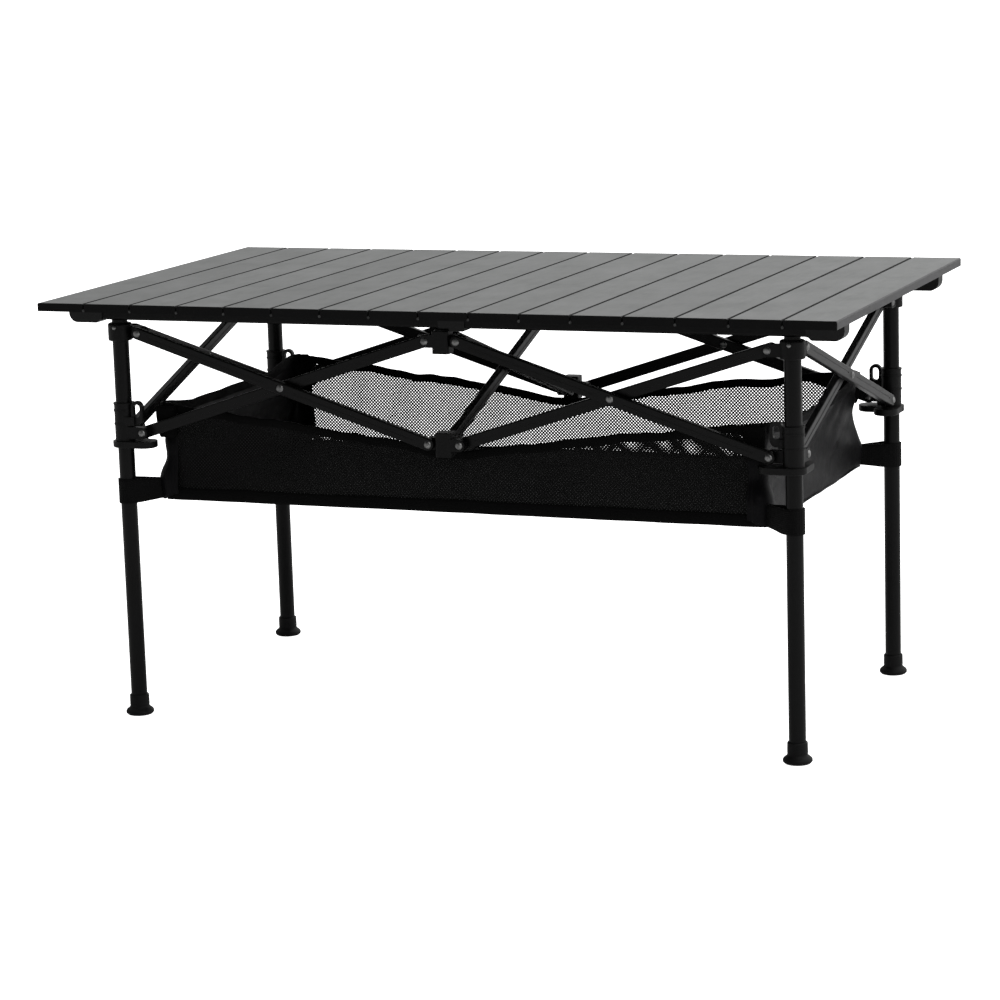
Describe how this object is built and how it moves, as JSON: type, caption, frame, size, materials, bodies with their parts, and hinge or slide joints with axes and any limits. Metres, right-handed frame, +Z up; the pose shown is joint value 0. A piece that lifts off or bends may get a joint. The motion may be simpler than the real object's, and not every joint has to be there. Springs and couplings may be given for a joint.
{
  "type": "folding camp kitchen table",
  "caption": "Low folding camp table: roll-up slatted aluminium top on a scissor pop-up frame with sliding hubs and a hanging storage basket.",
  "frame": {"origin": "on the floor under the centre of the top", "axes": "+X along the long side to the right, +Y to the back, +Z up"},
  "size_m": [0.95, 0.55, 0.5],
  "materials": {
    "slat_aluminium": "anodised satin",
    "bar_steel": "satin powder coat",
    "leg_steel": "satin powder coat",
    "foot_rubber": "matt",
    "rail_aluminium": "satin powder coat",
    "basket_fabric": "coated woven",
    "strap_webbing": "woven",
    "hub_plastic": "fine moulded"
  },
  "bodies": {
    "front_centre_top": {"front_centre_top_hub": "hub_plastic"},
    "front_centre_bottom": {"front_centre_bottom_hub": "hub_plastic", "storage_basket": "basket_fabric", "basket_straps": "strap_webbing"},
    "back_centre_top": {"back_centre_top_hub": "hub_plastic"},
    "back_centre_bottom": {"back_centre_bottom_hub": "hub_plastic"},
    "front_left_leg": {"front_left_leg_tube": "leg_steel", "front_left_top_hub": "hub_plastic", "front_left_foot": "foot_rubber"},
    "front_left_slider": {"front_left_slider_hub": "hub_plastic"},
    "front_left_latch": {"front_left_latch_lever": "hub_plastic"},
    "front_right_leg": {"front_right_leg_tube": "leg_steel", "front_right_top_hub": "hub_plastic", "front_right_foot": "foot_rubber"},
    "front_right_slider": {"front_right_slider_hub": "hub_plastic"},
    "front_right_latch": {"front_right_latch_lever": "hub_plastic"},
    "back_left_leg": {"back_left_leg_tube": "leg_steel", "back_left_top_hub": "hub_plastic", "back_left_foot": "foot_rubber"},
    "back_left_slider": {"back_left_slider_hub": "hub_plastic"},
    "back_left_latch": {"back_left_latch_lever": "hub_plastic"},
    "back_right_leg": {"back_right_leg_tube": "leg_steel", "back_right_top_hub": "hub_plastic", "back_right_foot": "foot_rubber"},
    "back_right_slider": {"back_right_slider_hub": "hub_plastic"},
    "back_right_latch": {"back_right_latch_lever": "hub_plastic"},
    "front_right_outer_bar": {"front_right_outer_bar": "bar_steel"},
    "front_right_inner_bar": {"front_right_inner_bar": "bar_steel"},
    "front_left_inner_bar": {"front_left_inner_bar": "bar_steel"},
    "front_left_outer_bar": {"front_left_outer_bar": "bar_steel"},
    "back_left_outer_bar": {"back_left_outer_bar": "bar_steel"},
    "back_left_inner_bar": {"back_left_inner_bar": "bar_steel"},
    "back_right_inner_bar": {"back_right_inner_bar": "bar_steel"},
    "back_right_outer_bar": {"back_right_outer_bar": "bar_steel"},
    "right_end_outer_bar": {"right_end_outer_bar": "bar_steel"},
    "right_end_inner_bar": {"right_end_inner_bar": "bar_steel"},
    "left_end_outer_bar": {"left_end_outer_bar": "bar_steel"},
    "left_end_inner_bar": {"left_end_inner_bar": "bar_steel"},
    "middle_right_bar": {"middle_right_bar": "bar_steel"},
    "middle_left_bar": {"middle_left_bar": "bar_steel"},
    "rails": {"front_rail": "rail_aluminium", "back_rail": "rail_aluminium", "rail_fittings": "hub_plastic"},
    "slat_01": {"slat_01": "slat_aluminium"},
    "slat_02": {"slat_02": "slat_aluminium"},
    "slat_03": {"slat_03": "slat_aluminium"},
    "slat_04": {"slat_04": "slat_aluminium"},
    "slat_05": {"slat_05": "slat_aluminium"},
    "slat_06": {"slat_06": "slat_aluminium"},
    "slat_07": {"slat_07": "slat_aluminium"},
    "slat_08": {"slat_08": "slat_aluminium"},
    "slat_09": {"slat_09": "slat_aluminium"},
    "slat_10": {"slat_10": "slat_aluminium"},
    "slat_11": {"slat_11": "slat_aluminium"},
    "slat_12": {"slat_12": "slat_aluminium"},
    "slat_13": {"slat_13": "slat_aluminium"},
    "slat_14": {"slat_14": "slat_aluminium"},
    "slat_15": {"slat_15": "slat_aluminium"},
    "slat_16": {"slat_16": "slat_aluminium"}
  },
  "joints": [
    {"name": "fold", "type": "hinge", "parent": "front_centre_top", "child": "front_right_outer_bar", "pos_m": [0.019, -0.2067, 0.458], "axis": [0, 1, 0], "range_deg": [0, 62], "deforming": ["storage_basket", "basket_straps"]},
    {"name": "front_left_inner_pivot", "type": "hinge", "parent": "front_centre_top", "child": "front_left_inner_bar", "pos_m": [-0.019, -0.2067, 0.458], "axis": [0, 1, 0], "range_deg": [-62, 0]},
    {"name": "middle_right_pivot", "type": "hinge", "parent": "front_centre_top", "child": "middle_right_bar", "pos_m": [0, -0.1807, 0.458], "axis": [1, 0, 0], "range_deg": [-62, 0]},
    {"name": "front_right_slider_pivot", "type": "hinge", "parent": "front_right_outer_bar", "child": "front_right_slider", "pos_m": [0.3804, -0.2067, 0.34057], "axis": [0, 1, 0], "range_deg": [-62, 0]},
    {"name": "front_left_slider_pivot", "type": "hinge", "parent": "front_left_inner_bar", "child": "front_left_slider", "pos_m": [-0.3804, -0.2067, 0.34057], "axis": [0, 1, 0], "range_deg": [0, 62]},
    {"name": "back_centre_bottom_pivot", "type": "hinge", "parent": "middle_right_bar", "child": "back_centre_bottom", "pos_m": [0, 0.1807, 0.34057], "axis": [1, 0, 0], "range_deg": [0, 62]},
    {"name": "front_right_cross", "type": "hinge", "parent": "front_right_outer_bar", "child": "front_right_inner_bar", "pos_m": [0.1997, -0.2067, 0.39929], "axis": [0, 1, 0], "range_deg": [-124, 0]},
    {"name": "front_left_cross", "type": "hinge", "parent": "front_left_inner_bar", "child": "front_left_outer_bar", "pos_m": [-0.1997, -0.2067, 0.39929], "axis": [0, 1, 0], "range_deg": [0, 124]},
    {"name": "middle_cross", "type": "hinge", "parent": "middle_right_bar", "child": "middle_left_bar", "pos_m": [0, 0, 0.39929], "axis": [1, 0, 0], "range_deg": [0, 124]},
    {"name": "front_right_leg_pivot", "type": "hinge", "parent": "front_right_inner_bar", "child": "front_right_leg", "pos_m": [0.3804, -0.2067, 0.458], "axis": [0, 1, 0], "range_deg": [0, 62]},
    {"name": "front_centre_bottom_pivot", "type": "hinge", "parent": "front_right_inner_bar", "child": "front_centre_bottom", "pos_m": [0.019, -0.2067, 0.34057], "axis": [0, 1, 0], "range_deg": [0, 62]},
    {"name": "front_left_leg_pivot", "type": "hinge", "parent": "front_left_outer_bar", "child": "front_left_leg", "pos_m": [-0.3804, -0.2067, 0.458], "axis": [0, 1, 0], "range_deg": [-62, 0]},
    {"name": "back_centre_top_pivot", "type": "hinge", "parent": "middle_left_bar", "child": "back_centre_top", "pos_m": [0, 0.1807, 0.458], "axis": [1, 0, 0], "range_deg": [-62, 0]},
    {"name": "right_end_outer_pivot", "type": "hinge", "parent": "front_right_leg", "child": "right_end_outer_bar", "pos_m": [0.4064, -0.1807, 0.458], "axis": [1, 0, 0], "range_deg": [-62, 0]},
    {"name": "back_right_slider_pivot", "type": "hinge", "parent": "right_end_outer_bar", "child": "back_right_slider", "pos_m": [0.4064, 0.1807, 0.34057], "axis": [1, 0, 0], "range_deg": [0, 62]},
    {"name": "right_end_cross", "type": "hinge", "parent": "right_end_outer_bar", "child": "right_end_inner_bar", "pos_m": [0.4064, 0, 0.39929], "axis": [1, 0, 0], "range_deg": [0, 124]},
    {"name": "back_right_leg_pivot", "type": "hinge", "parent": "right_end_inner_bar", "child": "back_right_leg", "pos_m": [0.4064, 0.1807, 0.458], "axis": [1, 0, 0], "range_deg": [-62, 0]},
    {"name": "left_end_inner_pivot", "type": "hinge", "parent": "front_left_leg", "child": "left_end_inner_bar", "pos_m": [-0.4064, -0.1807, 0.458], "axis": [1, 0, 0], "range_deg": [-62, 0]},
    {"name": "back_left_slider_pivot", "type": "hinge", "parent": "left_end_inner_bar", "child": "back_left_slider", "pos_m": [-0.4064, 0.1807, 0.34057], "axis": [1, 0, 0], "range_deg": [0, 62]},
    {"name": "left_end_cross", "type": "hinge", "parent": "left_end_inner_bar", "child": "left_end_outer_bar", "pos_m": [-0.4064, 0, 0.39929], "axis": [1, 0, 0], "range_deg": [0, 124]},
    {"name": "back_left_leg_pivot", "type": "hinge", "parent": "left_end_outer_bar", "child": "back_left_leg", "pos_m": [-0.4064, 0.1807, 0.458], "axis": [1, 0, 0], "range_deg": [-62, 0]},
    {"name": "back_left_outer_pivot", "type": "hinge", "parent": "back_centre_top", "child": "back_left_outer_bar", "pos_m": [-0.019, 0.2067, 0.458], "axis": [0, 1, 0], "range_deg": [-62, 0]},
    {"name": "back_right_inner_pivot", "type": "hinge", "parent": "back_centre_top", "child": "back_right_inner_bar", "pos_m": [0.019, 0.2067, 0.458], "axis": [0, 1, 0], "range_deg": [0, 62]},
    {"name": "back_right_outer_pivot", "type": "hinge", "parent": "back_centre_bottom", "child": "back_right_outer_bar", "pos_m": [0.019, 0.2067, 0.34057], "axis": [0, 1, 0], "range_deg": [-62, 0]},
    {"name": "back_left_inner_pivot", "type": "hinge", "parent": "back_centre_bottom", "child": "back_left_inner_bar", "pos_m": [-0.019, 0.2067, 0.34057], "axis": [0, 1, 0], "range_deg": [0, 62]},
    {"name": "front_left_latch_press", "type": "hinge", "parent": "front_left_slider", "child": "front_left_latch", "pos_m": [-0.3914, -0.2067, 0.35457], "axis": [0, 1, 0], "range_deg": [0, 15]},
    {"name": "front_right_latch_press", "type": "hinge", "parent": "front_right_slider", "child": "front_right_latch", "pos_m": [0.3914, -0.2067, 0.35457], "axis": [0, -1, 0], "range_deg": [0, 15]},
    {"name": "back_left_latch_press", "type": "hinge", "parent": "back_left_slider", "child": "back_left_latch", "pos_m": [-0.3914, 0.2067, 0.35457], "axis": [0, 1, 0], "range_deg": [0, 15]},
    {"name": "back_right_latch_press", "type": "hinge", "parent": "back_right_slider", "child": "back_right_latch", "pos_m": [0.3914, 0.2067, 0.35457], "axis": [0, -1, 0], "range_deg": [0, 15]},
    {"name": "rails_lift", "type": "slide", "parent": "front_centre_top", "child": "rails", "axis": [0, 0, 1], "range_m": [0, 0.05]},
    {"name": "top_lift", "type": "slide", "parent": "rails", "child": "slat_08", "axis": [0, 0, 1], "range_m": [0, 0.85]},
    {"name": "roll_08_09", "type": "hinge", "parent": "slat_08", "child": "slat_09", "pos_m": [0, 0, 0.4921], "axis": [0, 1, 0], "range_deg": [0, 21]},
    {"name": "roll_09_10", "type": "hinge", "parent": "slat_09", "child": "slat_10", "pos_m": [0.05937, 0, 0.4921], "axis": [0, 1, 0], "range_deg": [0, 21]},
    {"name": "roll_10_11", "type": "hinge", "parent": "slat_10", "child": "slat_11", "pos_m": [0.11875, 0, 0.4921], "axis": [0, 1, 0], "range_deg": [0, 21]},
    {"name": "roll_11_12", "type": "hinge", "parent": "slat_11", "child": "slat_12", "pos_m": [0.17813, 0, 0.4921], "axis": [0, 1, 0], "range_deg": [0, 21]},
    {"name": "roll_12_13", "type": "hinge", "parent": "slat_12", "child": "slat_13", "pos_m": [0.2375, 0, 0.4921], "axis": [0, 1, 0], "range_deg": [0, 21]},
    {"name": "roll_13_14", "type": "hinge", "parent": "slat_13", "child": "slat_14", "pos_m": [0.29688, 0, 0.4921], "axis": [0, 1, 0], "range_deg": [0, 21]},
    {"name": "roll_14_15", "type": "hinge", "parent": "slat_14", "child": "slat_15", "pos_m": [0.35625, 0, 0.4921], "axis": [0, 1, 0], "range_deg": [0, 21]},
    {"name": "roll_15_16", "type": "hinge", "parent": "slat_15", "child": "slat_16", "pos_m": [0.41563, 0, 0.4921], "axis": [0, 1, 0], "range_deg": [0, 21]},
    {"name": "roll_07_08", "type": "hinge", "parent": "slat_08", "child": "slat_07", "pos_m": [-0.05937, 0, 0.4921], "axis": [0, -1, 0], "range_deg": [0, 21]},
    {"name": "roll_06_07", "type": "hinge", "parent": "slat_07", "child": "slat_06", "pos_m": [-0.11875, 0, 0.4921], "axis": [0, -1, 0], "range_deg": [0, 21]},
    {"name": "roll_05_06", "type": "hinge", "parent": "slat_06", "child": "slat_05", "pos_m": [-0.17813, 0, 0.4921], "axis": [0, -1, 0], "range_deg": [0, 21]},
    {"name": "roll_04_05", "type": "hinge", "parent": "slat_05", "child": "slat_04", "pos_m": [-0.2375, 0, 0.4921], "axis": [0, -1, 0], "range_deg": [0, 21]},
    {"name": "roll_03_04", "type": "hinge", "parent": "slat_04", "child": "slat_03", "pos_m": [-0.29688, 0, 0.4921], "axis": [0, -1, 0], "range_deg": [0, 21]},
    {"name": "roll_02_03", "type": "hinge", "parent": "slat_03", "child": "slat_02", "pos_m": [-0.35625, 0, 0.4921], "axis": [0, -1, 0], "range_deg": [0, 21]},
    {"name": "roll_01_02", "type": "hinge", "parent": "slat_02", "child": "slat_01", "pos_m": [-0.41563, 0, 0.4921], "axis": [0, -1, 0], "range_deg": [0, 21]}
  ],
  "couplings": [
    {"joint": "front_left_inner_pivot", "follows": "fold", "ratio": -1},
    {"joint": "middle_right_pivot", "follows": "fold", "ratio": -1},
    {"joint": "front_right_slider_pivot", "follows": "fold", "ratio": -1},
    {"joint": "front_left_slider_pivot", "follows": "fold", "ratio": 1},
    {"joint": "back_centre_bottom_pivot", "follows": "fold", "ratio": 1},
    {"joint": "front_right_cross", "follows": "fold", "ratio": -2},
    {"joint": "front_left_cross", "follows": "fold", "ratio": 2},
    {"joint": "middle_cross", "follows": "fold", "ratio": 2},
    {"joint": "front_right_leg_pivot", "follows": "fold", "ratio": 1},
    {"joint": "front_centre_bottom_pivot", "follows": "fold", "ratio": 1},
    {"joint": "front_left_leg_pivot", "follows": "fold", "ratio": -1},
    {"joint": "back_centre_top_pivot", "follows": "fold", "ratio": -1},
    {"joint": "right_end_outer_pivot", "follows": "fold", "ratio": -1},
    {"joint": "back_right_slider_pivot", "follows": "fold", "ratio": 1},
    {"joint": "right_end_cross", "follows": "fold", "ratio": 2},
    {"joint": "back_right_leg_pivot", "follows": "fold", "ratio": -1},
    {"joint": "left_end_inner_pivot", "follows": "fold", "ratio": -1},
    {"joint": "back_left_slider_pivot", "follows": "fold", "ratio": 1},
    {"joint": "left_end_cross", "follows": "fold", "ratio": 2},
    {"joint": "back_left_leg_pivot", "follows": "fold", "ratio": -1},
    {"joint": "back_left_outer_pivot", "follows": "fold", "ratio": -1},
    {"joint": "back_right_inner_pivot", "follows": "fold", "ratio": 1},
    {"joint": "back_right_outer_pivot", "follows": "fold", "ratio": -1},
    {"joint": "back_left_inner_pivot", "follows": "fold", "ratio": 1},
    {"joint": "roll_08_09", "follows": "top_lift", "rad_per_m": 0.43119},
    {"joint": "roll_09_10", "follows": "top_lift", "rad_per_m": 0.43119},
    {"joint": "roll_10_11", "follows": "top_lift", "rad_per_m": 0.43119},
    {"joint": "roll_11_12", "follows": "top_lift", "rad_per_m": 0.43119},
    {"joint": "roll_12_13", "follows": "top_lift", "rad_per_m": 0.43119},
    {"joint": "roll_13_14", "follows": "top_lift", "rad_per_m": 0.43119},
    {"joint": "roll_14_15", "follows": "top_lift", "rad_per_m": 0.43119},
    {"joint": "roll_15_16", "follows": "top_lift", "rad_per_m": 0.43119},
    {"joint": "roll_07_08", "follows": "top_lift", "rad_per_m": 0.43119},
    {"joint": "roll_06_07", "follows": "top_lift", "rad_per_m": 0.43119},
    {"joint": "roll_05_06", "follows": "top_lift", "rad_per_m": 0.43119},
    {"joint": "roll_04_05", "follows": "top_lift", "rad_per_m": 0.43119},
    {"joint": "roll_03_04", "follows": "top_lift", "rad_per_m": 0.43119},
    {"joint": "roll_02_03", "follows": "top_lift", "rad_per_m": 0.43119},
    {"joint": "roll_01_02", "follows": "top_lift", "rad_per_m": 0.43119}
  ]
}
